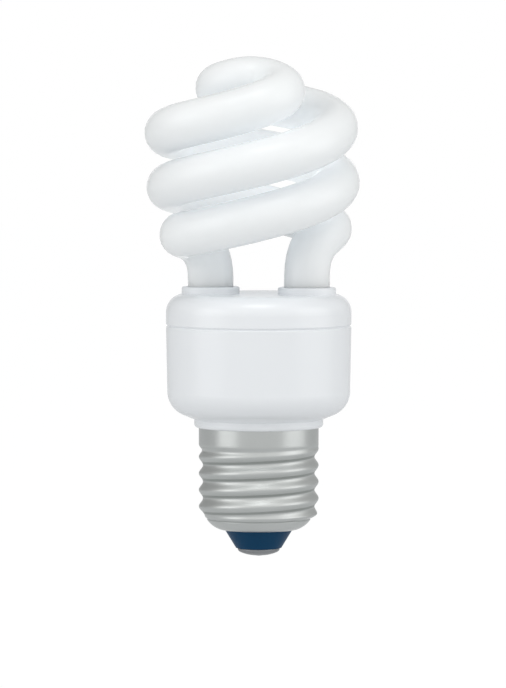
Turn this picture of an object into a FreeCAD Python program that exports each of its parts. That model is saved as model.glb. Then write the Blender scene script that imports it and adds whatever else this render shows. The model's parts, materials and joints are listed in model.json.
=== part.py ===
import FreeCAD, Part
import math
import os
import types

import Sketcher

# Spiral fluorescent lamp with a screw cap, in millimetres.
# The origin is the tip of the centre contact, on the axis of the cap. +Z runs up the lamp to the glass.
# +X and -X hold the two legs of the glass, and -Y is the front.

# Driving dimensions. An angle is in degrees.
SIZES = {
    # cap: contact, insulator and rolled screw shell
    "contact_margin": 0.4,
    "contact_height": 1.8,
    "contact_rise": 0.3,
    "solder_radius": 1.4,
    "solder_length": 0.7,
    "insulator_flare": 2.5,
    "insulator_lip": 0.3,
    "insulator_height": 4.1,
    "insulator_plug_height": 2.2,
    "wire_hole_radius": 1.5,
    "solder_clearance": 0.1,
    "shell_height": 22.3,
    "shell_wall": 0.3,
    "thread_crest_radius": 13.1,
    "thread_depth": 0.9,
    "thread_pitch": 3.629,
    "thread_start_height": 2.5,
    "thread_start_run": 2.4,
    "thread_end_run": 1.8,
    "thread_phase": 103.4,
    "plain_band_height": 3.6,
    "shoulder_round": 5.0,
    "rim_groove_radius": 0.3,
    "rim_groove_depth": 0.15,
    "rim_groove_turn": 48.0,
    # lower housing
    "spigot_clearance": 0.1,
    "spigot_wall": 1.4,
    "wire_slot_depth": 0.95,
    "wire_slot_height": 2.2,
    "collar_step": 1.0,
    "collar_height": 1.8,
    "collar_round": 0.8,
    "cone_rise": 2.4,
    "cone_round": 5.5,
    "side_top_radius": 20.25,
    "side_taper": 0.35,
    "side_height": 18.1,
    "housing_wall": 1.6,
    "seam_chamfer": 0.35,
    "snap_depth": 0.3,
    "snap_height": 0.9,
    "snap_clearance": 0.1,
    "rib_width": 1.2,
    "rib_reach": 2.1,
    # cover
    "cover_height": 6.9,
    "cover_wall": 1.6,
    "cover_round": 4.0,
    "cover_skirt_depth": 2.6,
    "cover_skirt_wall": 1.2,
    "fit_clearance": 0.1,
    "leg_collar_wall": 1.1,
    "leg_collar_height": 1.5,
    "leg_collar_round": 0.4,
    "leg_margin": 3.4,
    "leg_along": 2.05,
    "leg_sleeve_depth": 2.4,
    "cement_thickness": 0.25,
    # glass spiral
    "tube_radius": 5.0,
    "spiral_radius": 18.25,
    "spiral_widening_end": 149.0,
    "bridge_draw_in": 4.3,
    "bridge_easing": 14.0,
    "strand_gap": 1.915,
    "strand_turn": 478.0,
    "strand_end_height": 16.02,
    "strand_draw_in": 2.06,
    "leg_straight": 3.9,
    "bend_lift": 0.632,
    "bend_pull": 0.967,
    "lean_side": 1.91,
    "lean_front": 3.95,
    "lean_shift": 0.43,
    "lean_full": 20.5,
    "pinch_clearance": 2.9,
    "pinch_height": 2.2,
    "pinch_width": 8.4,
    "pinch_thickness": 2.6,
    # circuit board and its wires
    "board_thickness": 1.6,
    "board_clearance": 0.5,
    "layout_radius": 17.8,
    "layout_height": 12.86,
    "drill_clearance": 0.15,
    "solder_tail": 0.7,
    "part_gap": 0.25,
    "lead_radius": 0.3,
    "pin_width": 0.8,
    "pin_height": 4.2,
    "pin_offset_across": 13.6,
    "pin_offset_along": 6.8,
    "filament_wire_radius": 0.25,
    "filament_spread": 4.0,
    "filament_level": 1.5,
    "wrap_wall": 0.5,
    "wrap_height": 1.4,
    "supply_wire_radius": 0.4,
    "supply_wire_bend": 1.0,
    # storage capacitor
    "storage_radius": 5.0,
    "storage_height": 14.8,
    "storage_lead_pitch": 5.0,
    "storage_bead_depth": 0.5,
    "storage_offset": 5.6,
    # choke
    "choke_width": 13.0,
    "choke_depth": 12.0,
    "choke_core_thickness": 5.0,
    "choke_leg_width": 1.8,
    "choke_centre_leg": 3.4,
    "choke_bobbin_height": 9.2,
    "choke_bobbin_wall": 0.7,
    "winding_gap": 0.1,
    "choke_offset": 8.9,
    "choke_winding_inset": 0.5,
    # ring transformer
    "ring_outer_radius": 4.3,
    "ring_inner_radius": 2.3,
    "ring_height": 3.6,
    "ring_winding_thickness": 0.45,
    "ring_winding_sweep": 50.0,
    "ring_across": -5.0,
    "ring_along": 11.2,
    # transistors
    "transistor_width": 7.6,
    "transistor_thickness": 2.6,
    "transistor_height": 8.4,
    "transistor_stand": 2.2,
    "transistor_hole_radius": 1.5,
    "transistor_lead_width": 0.7,
    "transistor_lead_pitch": 2.28,
    "transistor_across": 5.2,
    "transistor_along": 11.0,
    # film capacitors
    "film_width": 8.6,
    "film_thickness": 3.8,
    "film_height": 7.4,
    "film_round": 0.5,
    "film_lead_pitch": 6.0,
    "resonant_across": 9.2,
    "resonant_along": 8.7,
    "coupling_across": -13.4,
    "coupling_along": -1.8,
    # small axial parts
    "diode_radius": 1.3,
    "diode_length": 4.6,
    "resistor_radius": 1.05,
    "resistor_length": 5.6,
    "diac_radius": 0.9,
    "diac_length": 3.6,
    "axial_spread": 2.6,
    "emitter_across": 11.6,
    "emitter_along": 9.9,
    "start_across": 11.4,
    "start_along": 6.6,
    "diac_across": 10.6,
    "diac_along": 4.0,
    "axial_stand": 0.8,
    # line filter inductor
    "filter_radius": 2.8,
    "filter_height": 7.5,
    "filter_waist_radius": 1.4,
    "filter_flange": 1.0,
    "filter_lead_pitch": 3.2,
    "filter_across": 4.4,
    "filter_along": 14.0,
    # fusible resistor in the lead to the centre contact
    "fuse_radius": 1.6,
    "fuse_length": 9.0,
    "supply_across": 0.7,
    "supply_along": 4.2,
}

doc = FreeCAD.newDocument("SpiralLamp")
sheet = doc.addObject("Spreadsheet::Sheet", "Sizes")
for row, (alias, number) in enumerate(SIZES.items(), start=1):
    sheet.set(f"A{row}", alias.replace("_", " "))
    sheet.set(f"B{row}", str(number))
    sheet.setAlias(f"B{row}", alias)
doc.recompute()


class Size:
    """A number from the sheet, or worked out from some, with the formula that gives it."""

    def __init__(self, value, formula):
        self.value = value
        self.formula = formula

    def __add__(self, other):
        other = as_size(other)
        return Size(self.value + other.value, f"({self.formula} + {other.formula})")

    def __sub__(self, other):
        other = as_size(other)
        return Size(self.value - other.value, f"({self.formula} - {other.formula})")

    def __mul__(self, other):
        other = as_size(other)
        return Size(self.value * other.value, f"({self.formula} * {other.formula})")

    def __truediv__(self, other):
        other = as_size(other)
        return Size(self.value / other.value, f"({self.formula} / {other.formula})")

    def __radd__(self, other):
        return as_size(other) + self

    def __rsub__(self, other):
        return as_size(other) - self

    def __rmul__(self, other):
        return as_size(other) * self

    def __neg__(self):
        return Size(-self.value, f"(-1 * {self.formula})")


def as_size(number):
    return number if isinstance(number, Size) else Size(float(number), str(float(number)))


size = types.SimpleNamespace(**{alias: Size(float(sheet.get(alias)), f"Sizes.{alias}") for alias in SIZES})
ZERO = as_size(0)
parts = []
worked_out = []


def derived(alias, value):
    """A size worked out from others, which gets a row of its own at the end of the sheet."""
    row = len(SIZES) + len(worked_out) + 1
    sheet.set(f"A{row}", alias.replace("_", " "))
    sheet.set(f"B{row}", "=" + value.formula.replace("Sizes.", ""))
    sheet.setAlias(f"B{row}", alias)
    worked_out.append(alias)
    return Size(value.value, f"Sizes.{alias}")


def point(x, y, z):
    return FreeCAD.Vector(x, y, z)


def sub_part(thing, label):
    """Names a finished sub-part and puts it on the list of those that are written out."""
    thing.Label = label
    parts.append(thing)
    return thing


def bind(thing, **values):
    for name, value in values.items():
        thing.setExpression(name, as_size(value).formula)
    return thing


def put(thing, x=ZERO, y=ZERO, z=ZERO, turn=None):
    """Places a thing at x, y, z, turned first if a rotation is given."""
    if turn is not None:
        thing.Placement = FreeCAD.Placement(point(0, 0, 0), turn)
    for axis, value in (("x", x), ("y", y), ("z", z)):
        thing.setExpression(f"Placement.Base.{axis}", as_size(value).formula)
    return thing


ABOUT_X = FreeCAD.Rotation(point(1, 0, 0), 90)
ABOUT_Y = FreeCAD.Rotation(point(0, 1, 0), 90)


# Sketches

def body_of(label):
    return sub_part(doc.addObject("PartDesign::Body", label), label)


def sketch(body, name, role, lift=None, turn=0):
    """A sketch on one of the body's own planes, lifted along the plane's normal."""
    drawn = body.newObject("Sketcher::SketchObject", name)
    plane = [feature for feature in body.Origin.OriginFeatures if feature.Role == role][0]
    drawn.AttachmentSupport = (plane, [""])
    drawn.MapMode = "FlatFace"
    if turn:
        drawn.AttachmentOffset = FreeCAD.Placement(point(0, 0, 0), FreeCAD.Rotation(point(0, 0, 1), turn))
    if lift is not None:
        drawn.setExpression("AttachmentOffset.Base.z", as_size(lift).formula)
    return drawn


def hold(drawn, geometry, end, x, y):
    """Ties a point of the sketch to its distances from the sketch's origin."""
    for kind, length, axis in (("DistanceX", as_size(x), -2), ("DistanceY", as_size(y), -1)):
        if length.formula == ZERO.formula:
            drawn.addConstraint(Sketcher.Constraint("PointOnObject", geometry, end, axis))
        else:
            number = drawn.addConstraint(Sketcher.Constraint(kind, -1, 1, geometry, end, length.value))
            drawn.setExpression(f"Constraints[{number}]", length.formula)


def outline(drawn, corners):
    """A closed outline of straight edges through the corners, each held by its two distances."""
    corners = [(as_size(x), as_size(y)) for x, y in corners]
    first = drawn.GeometryCount
    count = len(corners)
    for (x1, y1), (x2, y2) in zip(corners, corners[1:] + corners[:1]):
        line = Part.LineSegment(point(x1.value, y1.value, 0), point(x2.value, y2.value, 0))
        drawn.addGeometry(line, False)
    for step in range(count):
        joint = Sketcher.Constraint("Coincident", first + step, 2, first + (step + 1) % count, 1)
        drawn.addConstraint(joint)
    for step, (x, y) in enumerate(corners):
        hold(drawn, first + step, 1, x, y)
    return drawn


def rectangle(drawn, x, y, width, depth):
    """A rectangle centred on x, y."""
    left, right = x - width / 2, x + width / 2
    low, high = y - depth / 2, y + depth / 2
    return outline(drawn, [(left, low), (right, low), (right, high), (left, high)])


def circle(drawn, x, y, radius):
    x, y, radius = as_size(x), as_size(y), as_size(radius)
    ring = drawn.addGeometry(Part.Circle(point(x.value, y.value, 0), point(0, 0, 1), radius.value), False)
    number = drawn.addConstraint(Sketcher.Constraint("Radius", ring, radius.value))
    drawn.setExpression(f"Constraints[{number}]", radius.formula)
    hold(drawn, ring, 3, x, y)
    return drawn


# Features

def turned(body, name, corners, angle=360):
    """A solid turned about the body's Z axis from corners given as radius and height."""
    drawn = outline(sketch(body, name + "Profile", "XZ_Plane"), corners)
    feature = body.newObject("PartDesign::Revolution", name)
    feature.Profile = drawn
    feature.ReferenceAxis = (drawn, ["V_Axis"])
    bind(feature, Angle=angle)
    doc.recompute()
    return feature


def pad(body, name, drawn, length, down=False, both_ways=False):
    feature = body.newObject("PartDesign::Pad", name)
    feature.Profile = drawn
    feature.Reversed = down
    feature.Midplane = both_ways
    bind(feature, Length=length)
    doc.recompute()
    return feature


def pocket(body, name, drawn, length, upwards=False):
    """A pocket cuts against its sketch's normal, or along it when upwards is set."""
    feature = body.newObject("PartDesign::Pocket", name)
    feature.Profile = drawn
    feature.Reversed = upwards
    bind(feature, Length=length)
    doc.recompute()
    return feature


def edges_where(feature, chosen):
    return [f"Edge{number}" for number, edge in enumerate(feature.Shape.Edges, start=1) if chosen(edge)]


def ring_at(radius, height):
    """Chooses the full circular edges of this radius, about the body's axis, at this height."""
    def chosen(edge):
        box = edge.BoundBox
        level = abs(box.ZMin - height.value) < 1e-4 and abs(box.ZMax - height.value) < 1e-4
        return level and abs(box.XMax - radius.value) < 1e-3 and abs(box.XMin + radius.value) < 1e-3
    return chosen


def rounded(body, name, feature, radius, chosen):
    result = body.newObject("PartDesign::Fillet", name)
    result.Base = (feature, edges_where(feature, chosen))
    bind(result, Radius=radius)
    doc.recompute()
    return result


def chamfered(body, name, feature, width, chosen):
    result = body.newObject("PartDesign::Chamfer", name)
    result.Base = (feature, edges_where(feature, chosen))
    bind(result, Size=width)
    doc.recompute()
    return result


def box(width, depth, height, x, y, z):
    """A block centred on x and y, standing on z."""
    thing = bind(doc.addObject("Part::Box", "Block"), Length=width, Width=depth, Height=height)
    return put(thing, x - width / 2, y - depth / 2, z)


def cylinder(radius, height, x=ZERO, y=ZERO, z=ZERO, turn=None):
    thing = bind(doc.addObject("Part::Cylinder", "Rod"), Radius=radius, Height=height)
    return put(thing, x, y, z, turn)


def joined(name, things):
    union = doc.addObject("Part::MultiFuse", name)
    union.Shapes = things
    union.Refine = True
    return union


def cut(name, base, tool):
    result = doc.addObject("Part::Cut", name)
    result.Base = base
    result.Tool = tool
    return result


# Wires

def bent_path(points, bend):
    """A wire through the points, straight with an arc of the given radius at each corner."""
    edges = []
    last = points[0]
    for before, corner, after in zip(points, points[1:], points[2:]):
        inward = (before - corner).normalize()
        outward = (after - corner).normalize()
        half = math.acos(max(-1.0, min(1.0, inward.dot(outward)))) / 2
        back = bend / math.tan(half)
        start = corner + inward * back
        finish = corner + outward * back
        centre = corner + (inward + outward).normalize() * (bend / math.sin(half))
        middle = centre + (corner - centre).normalize() * bend
        if (start - last).Length > 1e-6:
            edges.append(Part.LineSegment(last, start).toShape())
        edges.append(Part.Arc(start, middle, finish).toShape())
        last = finish
    if (points[-1] - last).Length > 1e-6:
        edges.append(Part.LineSegment(last, points[-1]).toShape())
    return Part.Wire(edges)


def round_bar(path, radius):
    """A solid of round section along a wire of lines and arcs."""
    start = path.Edges[0].valueAt(path.Edges[0].FirstParameter)
    ahead = path.Edges[0].tangentAt(path.Edges[0].FirstParameter)
    section = Part.Wire([Part.Circle(start, ahead, radius).toShape()])
    pipe = Part.BRepOffsetAPI.MakePipeShell(path)
    pipe.add(section, False, False)
    pipe.build()
    pipe.makeSolid()
    return pipe.shape()


def shaped(name, shape):
    """A piece whose form neither a body nor a primitive can give."""
    thing = doc.addObject("Part::Feature", name)
    thing.Shape = shape
    return thing


# Levels along the lamp's axis
insulator_level = size.contact_height
shell_level = derived("shell_level", insulator_level + size.insulator_height)
neck_level = derived("neck_level", shell_level + size.shell_height)
band_level = derived("band_level", neck_level - size.plain_band_height)
cone_level = derived("cone_level", neck_level + size.collar_height)
side_level = derived("side_level", cone_level + size.cone_rise)
seam_level = derived("seam_level", side_level + size.side_height)
plate_level = derived("plate_level", seam_level + size.cover_height)
skirt_level = derived("skirt_level", seam_level - size.cover_skirt_depth)
board_top = derived("board_top", skirt_level - size.fit_clearance)
board_level = derived("board_level", board_top - size.board_thickness)

# Radii of the cap, from the thread inwards
thread_root_radius = derived("thread_root_radius", size.thread_crest_radius - size.thread_depth)
shoulder_centre_radius = derived("shoulder_centre_radius", thread_root_radius - size.shoulder_round)
insulator_mouth_radius = derived("insulator_mouth_radius", shoulder_centre_radius + size.insulator_lip)
insulator_tip_radius = derived("insulator_tip_radius", insulator_mouth_radius - size.insulator_flare)
contact_radius = derived("contact_radius", insulator_tip_radius - size.contact_margin)
spigot_radius = derived("spigot_radius", size.thread_crest_radius - size.shell_wall - size.spigot_clearance)
spigot_inner = derived("spigot_inner", spigot_radius - size.spigot_wall)

# Radii of the housing and its board, and the places of the two legs
collar_radius = derived("collar_radius", size.thread_crest_radius + size.collar_step)
side_low_radius = derived("side_low_radius", size.side_top_radius - size.side_taper)
inner_low_radius = derived("inner_low_radius", side_low_radius - size.housing_wall)
inner_top_radius = derived("inner_top_radius", size.side_top_radius - size.housing_wall)
board_radius = derived("board_radius", inner_low_radius - size.board_clearance)
leg_hole_radius = derived("leg_hole_radius", size.tube_radius + size.cement_thickness)
leg_collar_radius = derived("leg_collar_radius", leg_hole_radius + size.leg_collar_wall)
leg_across = derived("leg_across", size.side_top_radius - size.leg_margin - leg_collar_radius)
LEGS = ((-1, "left"), (1, "right"))

# The floor inside the housing
cone_slope = size.cone_rise / (side_low_radius - collar_radius)
inner_cone_level = derived("inner_cone_level",
                           cone_level + size.housing_wall + (inner_low_radius - collar_radius) * cone_slope)
inner_neck_level = derived("inner_neck_level",
                           cone_level + size.housing_wall + (spigot_inner - collar_radius) * cone_slope)

# The parts on the board are given for a board of layout_radius with layout_height of room under it. Their
# plan shrinks or grows with the board, and their heights with the room.
ON_BOARD = ("storage", "choke", "ring", "transistor", "film", "resonant", "coupling", "diode", "resistor",
            "diac", "axial", "emitter", "start", "filter", "pin_offset", "supply_across", "supply_along")
UPRIGHT = ("_height", "_stand", "_length", "_flange", "core_thickness")
layout_plan = derived("layout_plan", board_radius / size.layout_radius)
layout_rise = derived("layout_rise", (board_level - inner_cone_level) / size.layout_height)
fitted = types.SimpleNamespace(**{
    alias: getattr(size, alias) * (layout_rise if alias.endswith(UPRIGHT) else layout_plan)
    for alias in SIZES if alias.startswith(ON_BOARD)})


# Screw shell

thread_wave = size.thread_depth / 2
shoulder_level = shell_level + size.shoulder_round
thread_low = shell_level + size.thread_start_height
STEPS_PER_PITCH = 8
SHOULDER_STEPS = 5


def eased(share):
    share = min(1.0, max(0.0, share))
    return share * share * (3 - 2 * share)


def thread_angle(height):
    """The direction of the crest at a height, for a right-handed thread."""
    turns = (height - band_level.value) / size.thread_pitch.value
    return math.radians(size.thread_phase.value) + 2 * math.pi * turns


def shell_circles(inset):
    """The shell as a stack of level circles. A circle that is off centre, and goes round as it rises, makes
    the thread. It runs in over the shoulder and out into the plain band."""
    round_radius = size.shoulder_round.value - inset
    centre_radius = shoulder_centre_radius.value
    mouth = insulator_mouth_radius.value
    low_turn = math.asin((mouth - centre_radius) / round_radius)
    high_turn = math.acos((shoulder_level.value - thread_low.value) / round_radius)
    circles = []
    for step in range(SHOULDER_STEPS):
        turn = low_turn + (high_turn - low_turn) * step / SHOULDER_STEPS
        height = shoulder_level.value - round_radius * math.cos(turn)
        circles.append((height, centre_radius + round_radius * math.sin(turn), 0.0))
    count = round((band_level.value - thread_low.value) / size.thread_pitch.value * STEPS_PER_PITCH)
    wave = thread_wave.value
    for step in range(count + 1):
        height = thread_low.value + (band_level.value - thread_low.value) * step / count
        run_in = eased((height - thread_low.value) / size.thread_start_run.value)
        run_out = eased((band_level.value - height) / size.thread_end_run.value)
        below = shoulder_level.value - height
        root = thread_root_radius.value - inset
        if below > 0:
            root = centre_radius + math.sqrt(round_radius ** 2 - below ** 2)
        circles.append((height, root + wave * run_in + wave * (1 - run_out), wave * min(run_in, run_out)))
    return circles


def stacked(circles):
    """The solid through the circles, with the plain band above them."""
    wires = []
    for height, radius, offset in circles:
        angle = thread_angle(height)
        centre = point(offset * math.cos(angle), offset * math.sin(angle), height)
        wires.append(Part.Wire([Part.Circle(centre, point(0, 0, 1), radius).toShape()]))
    band = Part.makeCylinder(radius, size.plain_band_height.value, point(0, 0, band_level.value))
    return Part.makeLoft(wires, True, True).fuse(band)


shell_outside = stacked(shell_circles(0.0))
shell_inside = stacked(shell_circles(size.shell_wall.value))
mouth_height = shell_inside.BoundBox.ZMin - shell_level.value + size.shell_wall.value
mouth_hole = Part.makeCylinder(insulator_mouth_radius.value, mouth_height,
                               point(0, 0, shell_level.value - size.shell_wall.value))
groove_turn = math.radians(size.rim_groove_turn.value)
groove_reach = size.shoulder_round.value + size.rim_groove_radius.value - size.rim_groove_depth.value
rim_groove = Part.makeTorus(shoulder_centre_radius.value + groove_reach * math.sin(groove_turn),
                            size.rim_groove_radius.value,
                            point(0, 0, shoulder_level.value - groove_reach * math.cos(groove_turn)))
sub_part(shaped("ScrewShell", shell_outside.cut(shell_inside).cut(mouth_hole).cut(rim_groove)), "screw_shell")


# Insulator: a cone outside the shell and a plug that fills the shell's rounded bottom

visible_cone = doc.addObject("Part::Cone", "VisibleCone")
bind(visible_cone, Radius1=insulator_tip_radius, Radius2=insulator_mouth_radius,
     Height=size.insulator_height)
put(visible_cone, z=insulator_level)
throat = cylinder(insulator_mouth_radius, size.shell_wall * 2, z=shell_level)
plug_blank = cylinder(thread_root_radius, size.insulator_plug_height, z=shell_level)
bowl = shaped("ShellBowl", shell_inside)
plug = doc.addObject("Part::MultiCommon", "Plug")
plug.Shapes = [plug_blank, bowl]
insulator_blank = joined("InsulatorBlank", [visible_cone, throat, plug])
wire_hole = cylinder(size.wire_hole_radius, size.insulator_height + size.insulator_plug_height + 2,
                     z=insulator_level - 1)
sub_part(cut("Insulator", insulator_blank, wire_hole), "cap_insulator")


# Centre contact: a shallow dome with a soldered hole in its middle

dome_height = size.contact_height - size.contact_rise
dome_radius = (contact_radius * contact_radius + dome_height * dome_height) / (2 * dome_height)
ball = bind(doc.addObject("Part::Sphere", "ContactBall"), Radius=dome_radius)
put(ball, z=dome_radius + size.contact_rise)
contact_blank = cylinder(contact_radius, size.contact_height)
contact_dome = doc.addObject("Part::MultiCommon", "ContactDome")
contact_dome.Shapes = [ball, contact_blank]
contact_hole = cylinder(size.solder_radius, size.contact_height * 2)
sub_part(cut("CentreContact", contact_dome, contact_hole), "centre_contact")

solder_ball_radius = (size.solder_radius * size.solder_radius + size.contact_rise * size.contact_rise) \
    / (2 * size.contact_rise)
solder_ball = bind(doc.addObject("Part::Sphere", "SolderBall"), Radius=solder_ball_radius)
put(solder_ball, z=solder_ball_radius)
solder_in_contact = cylinder(size.solder_radius, size.contact_height)
solder_in_insulator = cylinder(size.wire_hole_radius - size.solder_clearance, size.solder_length,
                               z=size.contact_height)
solder_blank = joined("SolderBlank", [solder_in_contact, solder_in_insulator])
solder = doc.addObject("Part::MultiCommon", "SolderBead")
solder.Shapes = [solder_ball, solder_blank]
sub_part(solder, "contact_solder")


# Ballast housing: a turned shell with a spigot in the screw shell and ribs that carry the board

spigot_level = derived("spigot_level", band_level + size.spigot_clearance)
snap_level = seam_level - size.cover_skirt_depth / 2
snap_half = size.snap_height / 2 + size.snap_clearance

housing = body_of("ballast_housing")
housing_turned = turned(housing, "HousingShell", [
    (spigot_radius, spigot_level),
    (spigot_radius, neck_level),
    (collar_radius, neck_level),
    (collar_radius, cone_level),
    (side_low_radius, side_level),
    (size.side_top_radius, seam_level),
    (inner_top_radius, seam_level),
    (inner_top_radius, snap_level + snap_half),
    (inner_top_radius + size.snap_depth + size.snap_clearance, snap_level),
    (inner_top_radius, snap_level - snap_half),
    (inner_low_radius, inner_cone_level),
    (spigot_inner, inner_neck_level),
    (spigot_inner, spigot_level),
])
housing_round = rounded(housing, "HousingShoulder", housing_turned, size.cone_round,
                        ring_at(side_low_radius, side_level))
housing_round = rounded(housing, "HousingInnerShoulder", housing_round, size.cone_round - size.housing_wall,
                        ring_at(inner_low_radius, inner_cone_level))
housing_round = rounded(housing, "CollarRound", housing_round, size.collar_round,
                        ring_at(collar_radius, neck_level))
housing_round = chamfered(housing, "HousingSeamEdge", housing_round, size.seam_chamfer,
                          ring_at(size.side_top_radius, seam_level))
rib_level = side_level + size.cone_round / 2
rib_sketch = sketch(housing, "RibPlan", "XY_Plane", lift=rib_level)
rib_middle = inner_low_radius - size.rib_reach / 2 + size.housing_wall / 4
rib_length = size.rib_reach + size.housing_wall / 2
for x, y, width, depth in ((rib_middle, ZERO, rib_length, size.rib_width),
                           (-rib_middle, ZERO, rib_length, size.rib_width),
                           (ZERO, rib_middle, size.rib_width, rib_length),
                           (ZERO, -rib_middle, size.rib_width, rib_length)):
    rectangle(rib_sketch, x, y, width, depth)
pad(housing, "BoardRibs", rib_sketch, board_level - rib_level)
fold_angle = math.degrees(thread_angle(spigot_level.value - size.supply_wire_radius.value * 2))
slot_sketch = sketch(housing, "WireSlotPlan", "XY_Plane", lift=spigot_level - 1, turn=fold_angle)
slot_width = 2 * (size.supply_wire_radius + size.drill_clearance)
slot_middle = spigot_radius - size.wire_slot_depth / 2 + 1
rectangle(slot_sketch, slot_middle, ZERO, size.wire_slot_depth + 2, slot_width)
pocket(housing, "WireSlot", slot_sketch, size.wire_slot_height + 1, upwards=True)


# Cover: a turned cap whose skirt snaps into the housing, with a collar and a sleeve for each leg

skirt_radius = inner_top_radius - size.fit_clearance
skirt_inner = skirt_radius - size.cover_skirt_wall
ceiling_level = plate_level - size.cover_wall

cover = body_of("top_cover")
cover_turned = turned(cover, "CoverShell", [
    (ZERO, plate_level),
    (size.side_top_radius, plate_level),
    (size.side_top_radius, seam_level),
    (skirt_radius, seam_level),
    (skirt_radius, snap_level + size.snap_height / 2),
    (skirt_radius + size.snap_depth, snap_level),
    (skirt_radius, snap_level - size.snap_height / 2),
    (skirt_radius, skirt_level),
    (skirt_inner, skirt_level),
    (skirt_inner, ceiling_level),
    (ZERO, ceiling_level),
])
cover_round = rounded(cover, "CoverShoulder", cover_turned, size.cover_round,
                      ring_at(size.side_top_radius, plate_level))
cover_round = rounded(cover, "CoverInnerShoulder", cover_round, size.cover_round - size.cover_wall,
                      ring_at(skirt_inner, ceiling_level))
cover_round = chamfered(cover, "CoverSeamEdge", cover_round, size.seam_chamfer,
                        ring_at(size.side_top_radius, seam_level))
sleeve_level = ceiling_level - size.leg_sleeve_depth
collar_top = plate_level + size.leg_collar_height
collar_sketch = sketch(cover, "LegCollarPlan", "XY_Plane", lift=sleeve_level)
for side, word in LEGS:
    circle(collar_sketch, side * leg_across, -side * size.leg_along, leg_collar_radius)
collars = pad(cover, "LegCollars", collar_sketch, collar_top - sleeve_level)


def collar_rim(edge):
    box_of_edge = edge.BoundBox
    level = abs(box_of_edge.ZMin - collar_top.value) < 1e-4 and box_of_edge.ZLength < 1e-4
    return level and abs(box_of_edge.XLength - 2 * leg_collar_radius.value) < 1e-3


collars = rounded(cover, "LegCollarEdges", collars, size.leg_collar_round, collar_rim)
hole_sketch = sketch(cover, "LegHolePlan", "XY_Plane", lift=collar_top)
for side, word in LEGS:
    circle(hole_sketch, side * leg_across, -side * size.leg_along, leg_hole_radius)
pocket(cover, "LegHoles", hole_sketch, collar_top - sleeve_level + 1)

for side, word in LEGS:
    x, y = side * leg_across, -side * size.leg_along
    ring = cylinder(leg_hole_radius, collar_top - sleeve_level, x, y, sleeve_level)
    bore = cylinder(size.tube_radius, collar_top - sleeve_level + 2, x, y, sleeve_level - 1)
    sub_part(cut("Cement", ring, bore), f"leg_cement_{word}")


# Glass spiral. Two equal strands climb from the legs, half a turn apart, and join in a bridge over the top.
# The centreline is a chain of circular arcs that touch without a corner.

ARCS_PER_TURN = 8
BEND_ARCS = 6

spiral_pitch = derived("spiral_pitch", 2 * (2 * size.tube_radius + size.strand_gap))
bridge_radius = derived("bridge_radius", size.spiral_radius - size.bridge_draw_in)
strand_end_radius = derived("strand_end_radius", size.spiral_radius - size.strand_draw_in)
whole_turn = math.radians(size.strand_turn.value)
bridge_easing = math.radians(size.bridge_easing.value)


def sunk(turn):
    """How far a strand has sunk at an angle, eased in over the bridge."""
    return spiral_pitch.value * (math.hypot(turn, bridge_easing) - bridge_easing) / (2 * math.pi)


def spiral_point(turn):
    """A point of one strand, at an angle in radians down from the top of the bridge. A negative angle is on
    the other strand."""
    side = -1 if turn < 0 else 1
    turn = abs(turn)
    quarter = math.pi / 2
    bridge = bridge_radius.value
    radius = bridge * math.sin(min(turn, quarter))
    widening = math.radians(size.spiral_widening_end.value) - quarter
    radius += (size.spiral_radius.value - bridge) * eased((turn - quarter) / widening)
    narrowing = eased((turn - 4 * quarter) / (whole_turn - 4 * quarter))
    radius -= (size.spiral_radius.value - strand_end_radius.value) * narrowing
    height = size.strand_end_height.value + sunk(whole_turn) - sunk(turn)
    return point(side * radius * math.cos(turn), -side * radius * math.sin(turn), height)


bend_start = spiral_point(whole_turn)
bend_heading = (bend_start - spiral_point(whole_turn - 0.001)).normalize()
bend_finish = point(-leg_across.value, size.leg_along.value, size.leg_straight.value)
bend_span = (bend_finish - bend_start).Length


def bend_point(share):
    """A point of the curve that brings a strand in to its upright leg, for a share from 0 to 1."""
    rest = 1 - share
    pull = bend_start + bend_heading * (bend_span * size.bend_pull.value)
    lift = bend_finish + point(0, 0, bend_span * size.bend_lift.value)
    return (bend_start * rest ** 3 + pull * (3 * rest * rest * share)
            + lift * (3 * rest * share * share) + bend_finish * share ** 3)


def leant(place):
    """The spiral leans and sits off centre a little, from the straight legs up."""
    foot = size.leg_straight.value
    share = eased((place.z - foot) / (size.lean_full.value - foot))
    side = share * math.tan(math.radians(size.lean_side.value))
    front = share * math.tan(math.radians(size.lean_front.value))
    shift = share * size.lean_shift.value
    return point(place.x - shift - side * place.z, place.y - front * place.z,
                 plate_level.value + place.z + side * place.x + front * place.y)


def half_round(place):
    return point(-place.x, -place.y, place.z)


def strand_places():
    """The points that the arcs join, from one leg over the bridge to the other."""
    turn_steps = round(size.strand_turn.value / 360 * ARCS_PER_TURN)
    spiral = [lambda s, step=step: spiral_point(whole_turn * (step + s) / turn_steps)
              for step in range(-turn_steps, turn_steps + 1)]
    bend = [lambda s, step=step: bend_point((step + s) / BEND_ARCS) for step in range(1, BEND_ARCS + 1)]
    other = [lambda s, step=step: half_round(bend_point((step - s) / BEND_ARCS))
             for step in range(BEND_ARCS, 0, -1)]
    return other + spiral + bend


def heading(curve):
    """The place and the direction of a curve at zero."""
    small = 0.001
    return leant(curve(0.0)), (leant(curve(small)) - leant(curve(-small))).normalize()


def touching_arcs(start, start_heading, finish, finish_heading):
    """Two arcs from start to finish that leave and arrive along the headings and touch between."""
    span = finish - start
    both = start_heading + finish_heading
    spread = 2 * (1 - start_heading.dot(finish_heading))
    along = span.dot(both)
    reach = span.dot(span) / (2 * along)
    if spread > 1e-9:
        reach = (math.sqrt(along * along + spread * span.dot(span)) - along) / spread
    middle = (start + finish + (start_heading - finish_heading) * reach) * 0.5
    return [arc_from(start, start_heading, middle), arc_from(finish, finish_heading * -1, middle)]


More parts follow.
